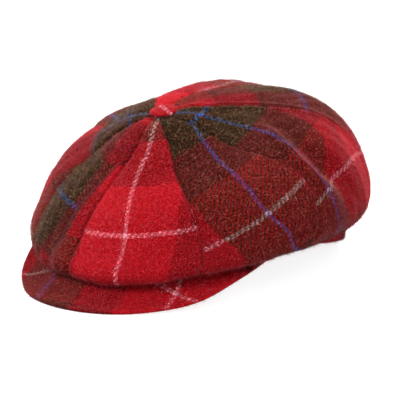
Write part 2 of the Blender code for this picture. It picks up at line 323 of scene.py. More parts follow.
# %% [markdown]
# ## Folds, seams and softness
# Sewn wool isn't a smooth balloon. Each panel fills out between its seams, sinks sharply into
# them, stands a little proud over the turned edges inside, and puckers where the thread pulls.
# Where the cap has been pulled and pressed, a seam lies filled out flat or has a lip along it,
# some panels sag into wide hollows, and one carries a long fold: a ridge with a dent beside it.
# Sculpting could do all of this, but here each one is a height added along the normal, made of
# bell curves and waves, so that any of them can be moved or made deeper by one number.
#
# A row of SAGS is one hollow: its angle round the crown, its share down it, its depth in
# millimetres, how many degrees wide and how long a share it is.

# %% Heights on a panel
FOLD_PANEL = 2
FOLD_LINE = ((50, -2), (76, -8), (86, -16), (97, -24), (108, -30), (118, -32), (135, -28),
             (160, -20))
FOLD_MIDDLE = 106 * MM
FOLD_REACH = 40 * MM
FOLD_RISE = 3.5 * MM
FOLD_DENT = 6.0 * MM
FOLD_RIDGE_WIDTH = 6.0 * MM
FOLD_DENT_WIDTH = 10.0 * MM
FOLD_DENT_OFFSET = 15.0 * MM
SEAM_FADE = 18.0 * MM
SEAM_DEPTH = 1.5 * MM
SEAM_WIDTH = 1.1 * MM
TURNING_RISE = 0.20 * MM
TURNING_WIDTH = 4.5 * MM
PUCKER_RISE = 0.30 * MM
PUCKER_LENGTH = 11.0 * MM
PUCKER_BEAT = 3.7
SEAM_STRENGTH = (1.0, 0.8, 0.15, 0.1, 1.0, 1.0, 0.9, 0.9)
SEAM_FILL = (0.0, 0.3, 1.5, 0.4, 0.0, 0.0, 0.0, 0.0)
FILL_WIDTH = 14.0 * MM
LIP_SEAM = 3
LIP_RISE = 1.1 * MM
LIP_WIDTH = 2.6 * MM
SOFT_RISE = 0.40 * MM
SOFT_FADE = 40.0 * MM
SOFT_WAVES = ((41, 17), (-29, 37), (13, -23), (53, 31))
SAGS = (
    (240, 0.47, 7.0, 20, 0.16),
    (284, 0.64, 7.0, 18, 0.12),
    (175, 0.40, 2.0, 45, 0.25),
)


def fold_height(across, down):
    """A ridge (one bell curve) along the fold's line with a dent beside it, both fading out."""
    fade = np.exp(-((down - FOLD_MIDDLE) / FOLD_REACH) ** 4)
    distance = across - curve_through(FOLD_LINE, down / MM) * MM
    ridge = FOLD_RISE * np.exp(-(distance / FOLD_RIDGE_WIDTH) ** 2)
    dent = FOLD_DENT * np.exp(-((distance - FOLD_DENT_OFFSET) / FOLD_DENT_WIDTH) ** 2)
    return (ridge - dent) * fade


def seam_height(from_left, from_right, down, panel):
    """Beside both seams: minus a narrow bell, plus a wide one for the turning, plus waves.

    A filled seam has one more wide bell over it, and the lip is a bell on both of its sides.
    """
    start = np.clip(down / SEAM_FADE, 0, 1) ** 2
    total = 0
    for side, gap in enumerate((from_left, from_right)):
        seam = (panel + side) % PANEL_COUNT
        groove = -SEAM_DEPTH * SEAM_STRENGTH[seam] * np.exp(-(gap / SEAM_WIDTH) ** 2)
        turning = TURNING_RISE * np.exp(-((gap - TURNING_WIDTH) / (0.7 * TURNING_WIDTH)) ** 2)
        wave = np.sin(2 * math.pi * down / PUCKER_LENGTH + 1.7 * seam)
        wave = wave * np.sin(2 * math.pi * down / (PUCKER_BEAT * PUCKER_LENGTH) + seam)
        pucker = PUCKER_RISE * wave * np.exp(-gap / (1.4 * TURNING_WIDTH))
        fill = SEAM_FILL[seam] * MM * np.exp(-(gap / FILL_WIDTH) ** 2)
        total = total + groove + turning + pucker + fill
        if seam == LIP_SEAM:
            total = total + LIP_RISE * np.exp(-((gap - LIP_WIDTH) / LIP_WIDTH) ** 2)
    return total * start


def sag_height(angle, share):
    """Wide shallow hollows, each a bell curve both round the crown and down it."""
    total = 0
    for middle, middle_share, depth, wide, long in SAGS:
        turn = (angle - math.radians(middle) + math.pi) % (2 * math.pi) - math.pi
        bell = np.exp(-(turn / math.radians(wide)) ** 2 - ((share - middle_share) / long) ** 2)
        total = total - depth * MM * bell
    return total


def soft_height(across, down, panel):
    """The cloth's own softness: four slow waves at different slants, faded at the button."""
    total = 0
    for k, (a, b) in enumerate(SOFT_WAVES):
        turns = across / (a * MM) + down / (b * 2 * MM)
        total = total + np.sin(2 * math.pi * turns + 2.1 * panel + k)
    return SOFT_RISE / 2 * total * np.clip(down / SOFT_FADE, 0, 1)


def crown_panel(panel, part, share):
    """One panel's outside: the smooth crown between its two seams, plus all its heights.

    Gives the points, and for each one its way across from the panel's middle and down it.
    """
    left = seam_angle(panel, share)
    angle = left + (seam_angle(panel + 1, share) - left) * part
    beyond = (angle[:, 1] - angle[:, 0])[:, None]
    wide_angle = np.concatenate([angle[:, :1] - beyond, angle, angle[:, -1:] + beyond], 1)
    wide_share = np.concatenate([share[:, :1], share, share[:, -1:]], 1)
    wide = base_crown(wide_angle, wide_share)
    base = wide[:, 1:-1]
    normal = grid_normals(wide)[:, 1:-1]
    middle = part.shape[1] // 2
    across = np.concatenate([np.zeros_like(part[:, :1]),
                             np.cumsum(np.linalg.norm(np.diff(base, axis=1), axis=-1), 1)], 1)
    step = np.linalg.norm(np.diff(base[:, middle], axis=0), axis=-1)
    down = np.concatenate([[0.0], np.cumsum(step)])[:, None] + 0 * part
    rise = PANEL_PUFF * np.sin(math.pi * share) ** 1.2 * (4 * part * (1 - part) - 0.5)
    rise = rise + seam_height(across, across[:, -1:] - across, down, panel)
    centred = across - across[:, middle:middle + 1]
    if panel == FOLD_PANEL:
        rise = rise + fold_height(centred, down)
    rise = rise + soft_height(centred, down, panel) * (4 * part * (1 - part)) ** 0.7
    rise = rise + sag_height(angle, share)
    return base + normal * rise[..., None] + CAD_SHIFT, centred, down


# %% [markdown]
# ## The check and its yarns
# The cloth is a two and two twill: every yarn goes over two and under two, one step further at
# each row, which draws slanting ribs. The same colours are laid in both directions: a pale line,
# a broad scarlet band, a dark red band, a broad brown band and a blue line, and back again. The
# colour of a place is that of the yarn on top there, so the shader asks which yarn that is. An
# image could hold the check, but yarn by yarn it stays sharp at any size.

# %% Yarns and their colours
YARN = 1.0 * MM
HALF_CHECK_ACROSS = 104.0
HALF_CHECK_DOWN = 107.0
BAND_STARTS = (0.0, 1.5, 34.0, 68.0, 102.5)

# Linear red, green and blue, and how deep the grain goes in that yarn
PALE = (0.42, 0.16, 0.19, 0.9)
SCARLET = (0.205, 0.003, 0.0055, 0.42)
DARK_RED = (0.078, 0.0022, 0.0035, 0.85)
BROWN = (0.010, 0.005, 0.002, 1.1)
BLUE = (0.010, 0.035, 0.15, 1.0)
YARNS = (PALE, SCARLET, DARK_RED, BROWN, BLUE)

# Flecks of two kinds, and the two kinds of loose fibre, for the same five yarns
BRIGHT_FLECKS = ((0.60, 0.40, 0.42, 1), (0.38, 0.015, 0.020, 1), (0.22, 0.006, 0.009, 1),
                 (0.105, 0.060, 0.022, 1), (0.05, 0.12, 0.32, 1))
OTHER_FLECKS = ((0.42, 0.10, 0.13, 1), (0.26, 0.004, 0.008, 1), (0.07, 0.004, 0.005, 1),
                (0.14, 0.014, 0.008, 1), (0.02, 0.05, 0.12, 1))
# Fibre colours are lighter than their yarns: partly the paler look of thin fibres, partly painted
# glow
NAPS = ((0.50, 0.25, 0.28, 0.3), (0.34, 0.006, 0.011, 0.3), (0.145, 0.0045, 0.007, 0.4),
        (0.027, 0.016, 0.006, 0.5), (0.03, 0.07, 0.22, 0.4))
HAIRS = ((0.70, 0.52, 0.54, 0.3), (0.46, 0.034, 0.055, 0.3), (0.34, 0.03, 0.035, 0.4),
         (0.165, 0.105, 0.04, 0.5), (0.10, 0.20, 0.44, 0.4))
print("one check is", 2 * HALF_CHECK_ACROSS, "by", 2 * HALF_CHECK_DOWN, "mm")

# %% [markdown]
# ## Small steps for the shader
# A shader that works like a calculation has dozens of nodes. Placing them by hand is slow to read
# and to change, so each kind of node gets a short function that makes it, links what goes in and
# gives back what comes out.

# %% Shader steps


def wire(tree, socket, value):
    """Links a socket to another node's output, or sets it where the value is plain."""
    if isinstance(value, bpy.types.NodeSocket):
        tree.links.new(value, socket)
    else:
        socket.default_value = value


def math_step(tree, operation, first, second=0.5, third=0.5):
    """One Math node on sockets or numbers."""
    node = tree.nodes.new("ShaderNodeMath")
    node.operation = operation
    for socket, value in zip(node.inputs, (first, second, third)):
        wire(tree, socket, value)
    return node.outputs[0]


def blend_numbers(tree, factor, first, second):
    """first where factor is 0 and second where it is 1."""
    node = tree.nodes.new("ShaderNodeMix")
    wire(tree, node.inputs[0], factor)
    wire(tree, node.inputs[2], first)
    wire(tree, node.inputs[3], second)
    return node.outputs[0]


def blend_colours(tree, factor, first, second, kind="MIX"):
    """Two colours mixed by a factor, or multiplied where the kind says so."""
    node = tree.nodes.new("ShaderNodeMix")
    node.data_type = "RGBA"
    node.blend_type = kind
    wire(tree, node.inputs[0], factor)
    wire(tree, node.inputs[6], first)
    wire(tree, node.inputs[7], second)
    return node.outputs[2]


def noise(tree, vector, scale, detail=2.0):
    """A noise texture's value and colour at a vector."""
    node = tree.nodes.new("ShaderNodeTexNoise")
    node.inputs["Scale"].default_value = scale
    node.inputs["Detail"].default_value = detail
    tree.links.new(vector, node.inputs["Vector"])
    return node.outputs["Fac"], node.outputs["Color"]


def vector_from(tree, x, y, z):
    """A vector of three sockets or numbers."""
    node = tree.nodes.new("ShaderNodeCombineXYZ")
    for socket, value in zip(node.inputs, (x, y, z)):
        wire(tree, socket, value)
    return node.outputs[0]


def wander(tree, vector, scale, reach):
    """A vector moved about by a noise, by up to half the reach either way."""
    offset = tree.nodes.new("ShaderNodeVectorMath")
    offset.operation = "MULTIPLY_ADD"
    tree.links.new(noise(tree, vector, scale)[1], offset.inputs[0])
    offset.inputs[1].default_value = (reach, reach, 0)
    tree.links.new(vector, offset.inputs[2])
    return offset.outputs[0]


def stepped_colours(tree, place, starts, colours):
    """A colour ramp that jumps from one colour to the next at each start."""
    node = tree.nodes.new("ShaderNodeValToRGB")
    ramp = node.color_ramp
    ramp.interpolation = "CONSTANT"
    while len(ramp.elements) < len(starts):
        ramp.elements.new(1.0)
    for element, start, colour in zip(ramp.elements, starts, colours):
        element.position = start / HALF_CHECK_ACROSS
        element.color = colour
    tree.links.new(place, node.inputs["Fac"])
    return node.outputs["Color"], node.outputs["Alpha"]


def clamped(tree, value):
    """A number kept between nothing and one."""
    node = tree.nodes.new("ShaderNodeClamp")
    tree.links.new(value, node.inputs[0])
    return node.outputs[0]


# %% [markdown]
# ## Which yarn is on top
# Every piece carries a map called cloth, in metres along its own yarns. Divided by a yarn's width
# it counts yarns, and two noises, a slow one and a quick one, let the yarns wander as they do in
# hand-woven cloth. Whole numbers are then yarn numbers, and the twill rule says which of the two
# yarns that cross there is on top.

# %% Yarn numbers and the twill rule
WANDERS = ((0.12, 2.0), (0.7, 1.3))
TWILL_REPEAT = 4.0


def yarn_places(tree, seed):
    """The cloth map divided by a yarn's width, wandering by each noise's scale and reach."""
    cloth = tree.nodes.new("ShaderNodeUVMap")
    cloth.uv_map = "cloth"
    counted = tree.nodes.new("ShaderNodeVectorMath")
    counted.operation = "MULTIPLY_ADD"
    tree.links.new(cloth.outputs[0], counted.inputs[0])
    down_scale = HALF_CHECK_ACROSS / HALF_CHECK_DOWN / YARN
    counted.inputs[1].default_value = (1 / YARN, down_scale, 0)
    counted.inputs[2].default_value = (0, 0, seed)
    place = counted.outputs[0]
    for scale, reach in WANDERS:
        place = wander(tree, place, scale, reach)
    split = tree.nodes.new("ShaderNodeSeparateXYZ")
    tree.links.new(place, split.inputs[0])
    return place, split.outputs[0], split.outputs[1]


def twill(tree, across, down):
    """Column plus row, modulo four, is the phase: the warp is on top where it is 0 or 1."""
    column = math_step(tree, "FLOOR", across)
    row = math_step(tree, "FLOOR", down)
    phase = math_step(tree, "FLOORED_MODULO", math_step(tree, "ADD", column, row), TWILL_REPEAT)
    return column, row, phase, math_step(tree, "LESS_THAN", phase, 1.5)


def check_colours(tree, number, tables):
    """A yarn's colour in each table: its number runs to and fro over half a check."""
    place = math_step(tree, "PINGPONG", number, HALF_CHECK_ACROSS)
    band = math_step(tree, "DIVIDE", place, HALF_CHECK_ACROSS)
    return [stepped_colours(tree, band, BAND_STARTS, colours) for colours in tables]


# %% [markdown]
# ## Felting and flecks
# Milled wool is felted: the yarn below shows through the one on top, and the weave is half
# hidden. So the top colour is mixed, by a noise, with the geometric mean of the two. The yarns
# are also spun from wool of several colours, which leaves flecks, bright in some places and
# deep in others.

# %% Colour of the cloth
FELT_NOISE = (0.8, 3.0)
FELT_CONTRAST = 3.0
FELTING = 0.78
KIND_NOISE = (0.55, 1.0)
KIND_START = 0.45
KIND_EDGE = 8.0
FLECK_NOISE = (0.8, 2.0)
FLECK_START = 0.56
FLECK_EDGE = 7.0


def felted_colour(tree, place, warp_up, weft, warp):
    """The top yarn, mixed with the square root of top times under, by a noise with contrast."""
    top = blend_colours(tree, warp_up, weft, warp)
    under = blend_colours(tree, warp_up, warp, weft)
    both = tree.nodes.new("ShaderNodeGamma")
    both.inputs["Gamma"].default_value = 0.5
    tree.links.new(blend_colours(tree, 1.0, top, under, "MULTIPLY"), both.inputs["Color"])
    swing = math_step(tree, "SUBTRACT", noise(tree, place, *FELT_NOISE)[0], 0.5)
    felting = math_step(tree, "MULTIPLY_ADD", swing, FELT_CONTRAST, FELTING)
    return blend_colours(tree, clamped(tree, felting), top, both.outputs[0])


def patches(tree, place, grain, start, edge):
    """A noise less its start, times its edge: nothing outside the patches and one inside."""
    above = math_step(tree, "SUBTRACT", noise(tree, place, *grain)[0], start)
    return clamped(tree, math_step(tree, "MULTIPLY", above, edge))


def flecked_colour(tree, place, yarn, first, second, fleck_share):
    """The yarn's colour, with patches of one fleck or the other laid over it."""
    kind = patches(tree, place, KIND_NOISE, KIND_START, KIND_EDGE)
    fleck = blend_colours(tree, kind, first, second)
    amount = patches(tree, place, FLECK_NOISE, FLECK_START, FLECK_EDGE)
    return blend_colours(tree, math_step(tree, "MULTIPLY", amount, fleck_share), yarn, fleck)


# %% [markdown]
# ## Round yarns and rough grain
# Each yarn comes up, floats over two others and dives again, so its height is one hump along the
# float and one across the yarn. The height darkens the colour in the gaps between yarns, as
# painted shade, and drives the bump, together with a fine noise for the fuzz. A coarser grain
# makes some spots darker, less so in the scarlet than in the brown, because the photograph shows
# it so.

# %% Height and shade of the yarns
SHADE_STRETCH = (3.7, 0.55, 19.0)
FUZZ_NOISE = (2.2, 4.0)
BUMP_FUZZ = 1.4
BUMP_YARN = 0.5
# Painted shade: the base colour's factor in the gaps between yarns, and what the yarn tops add
PAINTED_GAP_LIGHT = 0.68
PAINTED_YARN_TOP_LIGHT = 0.36
LEAST_SHADE = 0.65
SHADE_RANGE = 0.7
GRAIN_NOISE = (0.85, 2.0)
GRAIN_CONTRAST = 6.0
DARKEST_GRAIN = 0.12


def hump(tree, part):
    """4 p (1 - p): nothing at both ends and one in the middle."""
    rest = math_step(tree, "SUBTRACT", 1.0, part)
    return math_step(tree, "MULTIPLY", math_step(tree, "MULTIPLY", part, rest), 4.0)


def rounded_yarn(tree, phase, warp_up, across, down):
    """The square root of the hump along a float of two crossings times the hump across it."""
    half = math_step(tree, "FLOORED_MODULO", phase, 2.0)
    across_part = math_step(tree, "FRACT", across)
    down_part = math_step(tree, "FRACT", down)
    float_part = blend_numbers(tree, warp_up, across_part, down_part)
    float_part = math_step(tree, "DIVIDE", math_step(tree, "ADD", half, float_part), 2.0)
    width_part = blend_numbers(tree, warp_up, down_part, across_part)
    height = math_step(tree, "MULTIPLY", hump(tree, float_part), hump(tree, width_part))
    return math_step(tree, "POWER", height, 0.5)


def yarn_shade(tree, number, along, warp_up):
    """A noise that is long along each yarn and new in the next one."""
    by_number, by_length, by_side = SHADE_STRETCH
    spot = vector_from(tree, math_step(tree, "MULTIPLY", number, by_number),
                       math_step(tree, "MULTIPLY", along, by_length),
                       math_step(tree, "MULTIPLY", warp_up, by_side))
    return noise(tree, spot, 1.0)[0]


def painted_gap_shade_and_grain(tree, place, height, shade, grain_depth):
    """Painted shade from the height, darkest between yarns, times the yarn's tone and the grain.
    """
    # Painted shade: the yarn tops stay light and the gaps between yarns are darkened in the colour
    light = math_step(tree, "MULTIPLY_ADD", height, PAINTED_YARN_TOP_LIGHT, PAINTED_GAP_LIGHT)
    shade = math_step(tree, "MULTIPLY_ADD", shade, SHADE_RANGE, LEAST_SHADE)
    light = math_step(tree, "MULTIPLY", light, shade)
    grain = math_step(tree, "SUBTRACT", noise(tree, place, *GRAIN_NOISE)[0], 0.5)
    grain = math_step(tree, "MULTIPLY", grain, grain_depth)
    grain = math_step(tree, "MULTIPLY", grain, GRAIN_CONTRAST)
    grain = math_step(tree, "MAXIMUM", math_step(tree, "ADD", grain, 1.0), DARKEST_GRAIN)
    return math_step(tree, "MULTIPLY", light, grain)


# %% [markdown]
# ## The finished tweed
# One function puts the steps together. Wool hardly shines, so its gloss is almost nothing. The
# nap's glow at a flat angle is a narrow pink sheen: a wide one would lay a grey veil over the
# whole cap. The same function, with lighter yarns and fewer flecks, makes the wool of the loose
# fibres. A thin fibre lets light through and looks paler than its yarn; the lighter colour paints
# that light in, together with the glow of the nap lit from behind.

# %% Tweed material
BUMP_STRENGTH = 0.7
BUMP_HEIGHT = 0.35 * MM
WOOL_ROUGHNESS = 0.95
WOOL_GLOSS = 0.02
NAP_GLOW = 0.28
NAP_GLOW_ROUGHNESS = 0.12
NAP_GLOW_TINT = (1.0, 0.50, 0.54, 1.0)


def make_tweed(name, seed, yarns=YARNS, fleck_share=0.8):
    """The checked twill: yarn numbers, the twill rule, band colours, flecks, painted gap shade,
    bump and sheen.
    """
    material = bpy.data.materials.new(name)
    material.use_nodes = True
    tree = material.node_tree
    shader = tree.nodes["Principled BSDF"]
    place, across, down = yarn_places(tree, seed)
    column, row, phase, warp_up = twill(tree, across, down)
    tables = (yarns, BRIGHT_FLECKS, OTHER_FLECKS)
    weft = check_colours(tree, row, tables)
    warp = check_colours(tree, column, tables)
    yarn = felted_colour(tree, place, warp_up, weft[0][0], warp[0][0])
    flecks = [blend_colours(tree, warp_up, weft[k][0], warp[k][0]) for k in (1, 2)]
    colour = flecked_colour(tree, place, yarn, *flecks, fleck_share)

    number = blend_numbers(tree, warp_up, row, column)
    along = blend_numbers(tree, warp_up, across, down)
    shade = yarn_shade(tree, number, along, warp_up)
    grain_depth = blend_numbers(tree, warp_up, weft[0][1], warp[0][1])
    yarn_height = rounded_yarn(tree, phase, warp_up, across, down)
    # The base colour is darkened in the gaps between yarns (painted shade), with the yarn's tone
    # and grain
    light = painted_gap_shade_and_grain(tree, place, yarn_height, shade, grain_depth)
    grey = vector_from(tree, light, light, light)
    tree.links.new(blend_colours(tree, 1.0, colour, grey, "MULTIPLY"), shader.inputs["Base Color"])

    fuzz = noise(tree, place, *FUZZ_NOISE)[0]
    yarn_bump = math_step(tree, "MULTIPLY", yarn_height, BUMP_YARN)
    relief = math_step(tree, "MULTIPLY_ADD", fuzz, BUMP_FUZZ, yarn_bump)
    bump = tree.nodes.new("ShaderNodeBump")
    bump.inputs["Strength"].default_value = BUMP_STRENGTH
    bump.inputs["Distance"].default_value = BUMP_HEIGHT
    tree.links.new(relief, bump.inputs["Height"])
    tree.links.new(bump.outputs[0], shader.inputs["Normal"])
    shader.inputs["Roughness"].default_value = WOOL_ROUGHNESS
    shader.inputs["Specular IOR Level"].default_value = WOOL_GLOSS
    shader.inputs["Sheen Weight"].default_value = NAP_GLOW
    shader.inputs["Sheen Roughness"].default_value = NAP_GLOW_ROUGHNESS
    shader.inputs["Sheen Tint"].default_value = NAP_GLOW_TINT
    print(name, len(tree.nodes), "nodes")
    return material


panel_cloth = make_tweed("panel_cloth", 0.0)
band_cloth = make_tweed("band_cloth", 3.0)
peak_cloth = make_tweed("peak_cloth", 5.0)
button_cloth = make_tweed("button_cloth", 7.0)
# Lighter copies of the cloth for the fibres, partly painted glow of back-lit nap
nap_wool = make_tweed("nap_wool", 0.0, NAPS)
bright_wool = make_tweed("bright_wool", 0.0, HAIRS, 0.3)

# %% [markdown]
# ## From grids to meshes
# A piece of cloth has two sides and an edge. Two grids of points make the sides, and strips of
# faces round the rim close them, so that each piece is a real thin solid. A Solidify modifier
# could give a sheet its thickness too, but then its edges couldn't be drawn apart at the seams.

# %% Mesh helpers


def add_piece(name, points, faces, cloth_map, material, node):
    """A finished object from arrays: points, faces of equal size and a map for each point."""
    mesh = bpy.data.meshes.new(name)
    mesh.vertices.add(len(points))
    mesh.vertices.foreach_set("co", np.asarray(points, np.float32).ravel())
    mesh.loops.add(faces.size)
    mesh.loops.foreach_set("vertex_index", faces.astype(np.int32).ravel())
    mesh.polygons.add(len(faces))
    starts = np.arange(0, faces.size, faces.shape[1], dtype=np.int32)
    mesh.polygons.foreach_set("loop_start", starts)
    mesh.polygons.foreach_set("use_smooth", np.ones(len(faces), bool))
    mesh.update(calc_edges=True)
    layer = mesh.uv_layers.new(name="cloth")
    layer.data.foreach_set("uv", cloth_map[faces.ravel()].astype(np.float32).ravel())
    mesh.validate()
    mesh.materials.append(material)
    thing = bpy.data.objects.new(name, mesh)
    bpy.context.collection.objects.link(thing)
    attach(thing, "root")
    if node:
        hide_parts(node)
    print(name, len(faces), "faces")
    return thing


def grid_quads(rows, columns):
    """Quads between neighbouring points of a grid, facing up where rows run towards the viewer."""
    index = np.arange(rows * columns).reshape(rows, columns)
    corners = [index[:-1, :-1], index[1:, :-1], index[1:, 1:], index[:-1, 1:]]
    return np.stack(corners, -1).reshape(-1, 4)


def strip(edge, back_edge):
    """Quads between two lines of points, one line being the other's far side."""
    return np.stack([edge[:-1], edge[1:], back_edge[1:], back_edge[:-1]], -1)


def slab_faces(rows, columns):
    """Quads of an outer grid, an inner grid turned the other way, and four strips between."""
    near = np.arange(rows * columns).reshape(rows, columns)
    far = near + rows * columns
    quads = grid_quads(rows, columns)
    return np.concatenate([
        quads, quads[:, [0, 3, 2, 1]] + rows * columns,
        strip(near[:, 0][::-1], far[:, 0][::-1]), strip(near[:, -1], far[:, -1]),
        strip(near[0], far[0]), strip(near[-1][::-1], far[-1][::-1]),
    ])


def path_length(points):
    """The lengths of the steps from point to point, added up along the first axis, in mm."""
    return np.linalg.norm(np.diff(points, axis=0), axis=-1).sum(0) / MM


# %% [markdown]
# ## The nap
# Milled wool has a short nap of loose fibres, which softens the outline and catches the light.
# Over it stand fewer, longer and brighter hairs. A hair system would be lost on export, so the
# fibres are thin tapered tubes with three sides, laid over the cloth at random from a fixed
# seed, each in a lighter colour of the yarn that it grows from, or of one just beside it: painted
# glow of back-lit nap.

# %% Fibres
NAP_LENGTH = 2.3 * MM
NAP_RADIUS = 0.055 * MM
NAP_SPACING = 1.1 * MM
HAIR_LENGTH = 3.4 * MM
HAIR_RADIUS = 0.085 * MM
HAIR_SPACING = 2.3 * MM
NAP_STRAY = 1.2 * MM
NAP_ROOT_DEPTH = 0.2 * MM
NAP_FLOOR_GAP = 0.1 * MM
FIBRE_SIDES = 3
FIBRE_POINTS = 2 * FIBRE_SIDES + 1


def add_nap(name, points, cloth_map, material, seed, bright=False):
    """Fibres on a grid of points, as many as its area holds at the spacing of their kind.

    Each starts at a random place on the grid, leans along the cloth by one random share and
    stands up from it by another, and has three points round its root, three round its middle
    and one at its tip, which curls sideways. No point goes through the floor.
    """
    fibre_length, fibre_radius, spacing = NAP_LENGTH, NAP_RADIUS, NAP_SPACING
    if bright:
        fibre_length, fibre_radius, spacing = HAIR_LENGTH, HAIR_RADIUS, HAIR_SPACING
    draw = np.random.default_rng(seed)
    down = points[1:, :-1] - points[:-1, :-1]
    across = points[:-1, 1:] - points[:-1, :-1]
    area = np.linalg.norm(np.cross(down, across), axis=-1)
    count = int(area.sum() / spacing ** 2)
    cell = np.searchsorted(np.cumsum(area.ravel()) / area.sum(), draw.random(count))
    cell = np.minimum(cell, area.size - 1)
    i, j = np.unravel_index(cell, area.shape)
    p, q = draw.random((2, count, 1))
    root = points[i, j] + down[i, j] * p + across[i, j] * q
    there = cloth_map[i, j] + (cloth_map[i + 1, j] - cloth_map[i, j]) * p
    there = there + (cloth_map[i, j + 1] - cloth_map[i, j]) * q
    there = there + draw.normal(0, NAP_STRAY, there.shape)
    normal = grid_normals(points)[i, j]
    lean = unit(draw.normal(size=(count, 3)))
    lean = unit(lean - normal * (lean * normal).sum(-1, keepdims=True))
    side = np.cross(normal, lean)
    length = fibre_length * draw.uniform(0.35, 1.3, (count, 1))
    stand = draw.uniform(0.1, 1.0, (count, 1))
    middle = root + length * (0.55 * lean * (1 - 0.5 * stand) + normal * 0.5 * stand)
    curl = draw.normal(0, 0.35, (count, 1))
    lift = stand * draw.uniform(-0.5, 0.6, (count, 1))
    tip = middle + length * (0.5 * lean + side * curl + normal * lift)
    root = root - normal * NAP_ROOT_DEPTH
    corners = []
    for k in range(FIBRE_SIDES):
        turn = 2 * math.pi * k / FIBRE_SIDES
        out = (side * math.cos(turn) + normal * math.sin(turn)) * fibre_radius
        corners += [root + out, middle + out * 0.8]
    corners.append(tip)
    verts = np.stack(corners, 1)
    verts[..., 2] = np.maximum(verts[..., 2], NAP_FLOOR_GAP)
    faces = [(0, 4, 2)]
    for k in range(FIBRE_SIDES):
        a, b = 2 * k, 2 * ((k + 1) % FIBRE_SIDES)
        faces += [(a, b, b + 1), (a, b + 1, a + 1), (a + 1, b + 1, FIBRE_POINTS - 1)]
    faces = np.array(faces)[None] + FIBRE_POINTS * np.arange(count)[:, None, None]
    maps = np.repeat(there, FIBRE_POINTS, axis=0)
    return add_piece(name, verts.reshape(-1, 3), faces.reshape(-1, 3), maps, material, None)


# %% [markdown]
# ## How the cloth lies on each panel
# A cutter lays every panel on the checked cloth in another place, so the check jumps at each
# seam. For each panel this table says which line of the check runs up it, where that line lies,
# as (millimetres down from the button, millimetres across from the panel's middle), which line
# crosses it, how far down, and by how much the cross line slants and curves.

# %% Grain table
ACROSS_START = {"pale": 0.0, "blue": HALF_CHECK_ACROSS * MM}
DOWN_START = {"pale": 0.0, "blue": HALF_CHECK_DOWN * MM}
GRAIN = [
    ("pale", ((0, 4), (25, 0.5), (50, -2), (97, -4.5), (180, -4)), "pale", 96.5, 0.03, 0.0),
    ("blue", ((0, 12), (30, 10), (60, 7), (85, 4), (100, 3), (110, 5), (120, 12), (133, 22),
              (150, 33), (180, 42)), "pale", 111.0, -0.12, 0.0),
    ("blue", ((0, 0), (20, 1), (30, 0), (45, -2), (60, -5), (75, -10), (87, -16), (110, -26),
              (135, -29), (150, -26), (170, -20), (200, -14)), "pale", 134.0, 0.0, 0.0026),
    ("blue", ((0, 34), (120, 34), (240, 34)), "blue", 110.0, -0.05, 0.0),
    ("pale", ((0, -14), (120, -16), (240, -14)), "pale", -4.0, 0.04, 0.0),
    ("blue", ((0, 22), (100, 20), (200, 22)), "blue", 36.0, -0.05, 0.0),
    ("blue", ((0, 0), (20, -3), (40, -3), (60, 0), (180, 4)), "blue", 19.0, 0.0, 0.0),
    ("blue", ((0, -42), (20, -39), (40, -34), (60, -29), (80, -27), (100, -31), (120, -37),
              (180, -40)), "blue", 83.0, 0.0, 0.0),
]

# %% [markdown]
# ## Cloth that is pulled or folded away
# The check doesn't run evenly over worn cloth. In the long fold some of it lies hidden, so the
# check jumps over the crest, more and more down the panel. In two places the cloth has been
# pulled along as a whole. Real cloth could be simulated to do this, but here it is enough to move
# the map where the photograph shows it moved, with a soft border.
#
# A row of MOVED_CLOTH is one such place: its panel, where it starts across and down, and how far
# the map moves across and down, all in millimetres.

# %% Cloth coordinates on a panel
FOLD_TAKE_UP = 24.0 * MM
TAKE_UP_START = 98.0 * MM
TAKE_UP_LENGTH = 36.0 * MM
TAKE_UP_WIDTH = 9.0 * MM
MOVED_CLOTH = (
    (7, 13, 40, 26, -55),
    (6, -60, 50, -61, 0),
)
MOVE_BLEND = 5.0 * MM


def smooth_step(value):
    """3 t squared - 2 t cubed, with t kept between nothing and one."""
    t = np.clip(value, 0, 1)
    return t * t * (3 - 2 * t)


def taken_up(distance, down):
    """Cloth hidden in the fold: one smooth step down the panel times one across the crest."""
    hidden = FOLD_TAKE_UP * smooth_step((down - TAKE_UP_START) / TAKE_UP_LENGTH)
    return hidden * smooth_step(distance / TAKE_UP_WIDTH)


def cloth_on_panel(panel, across, down):
    """The cloth's own coordinates: across and down, less where the two marked lines run."""
    upright, line, cross, cross_down, slant, curve = GRAIN[panel]
    u = across - curve_through(line, down / MM) * MM
    if panel == FOLD_PANEL:
        u = u + taken_up(u, down)
    u = u + ACROSS_START[upright]
    v = down - cross_down * MM - slant * across - curve * across ** 2 / MM + DOWN_START[cross]
    for place, start_across, start_down, move_across, move_down in MOVED_CLOTH:
        if panel == place:
            moved = smooth_step((across - start_across * MM) / MOVE_BLEND)
            moved = moved * smooth_step((down - start_down * MM) / MOVE_BLEND)
            u = u + move_across * MM * moved
            v = v + move_down * MM * moved
    return np.stack([u, v], -1)


# %% [markdown]
# ## The crown's eight panels
# Each panel runs from the button's rim to the band. Its outside is a grid between its two seams,
# with columns closer together near the seams, where the surface bends most. The inside is the
# same grid moved in by the cloth's thickness. The side edges are drawn in by a hundredth of a
# millimetre, so that two neighbours touch like sewn cloth and share no face.

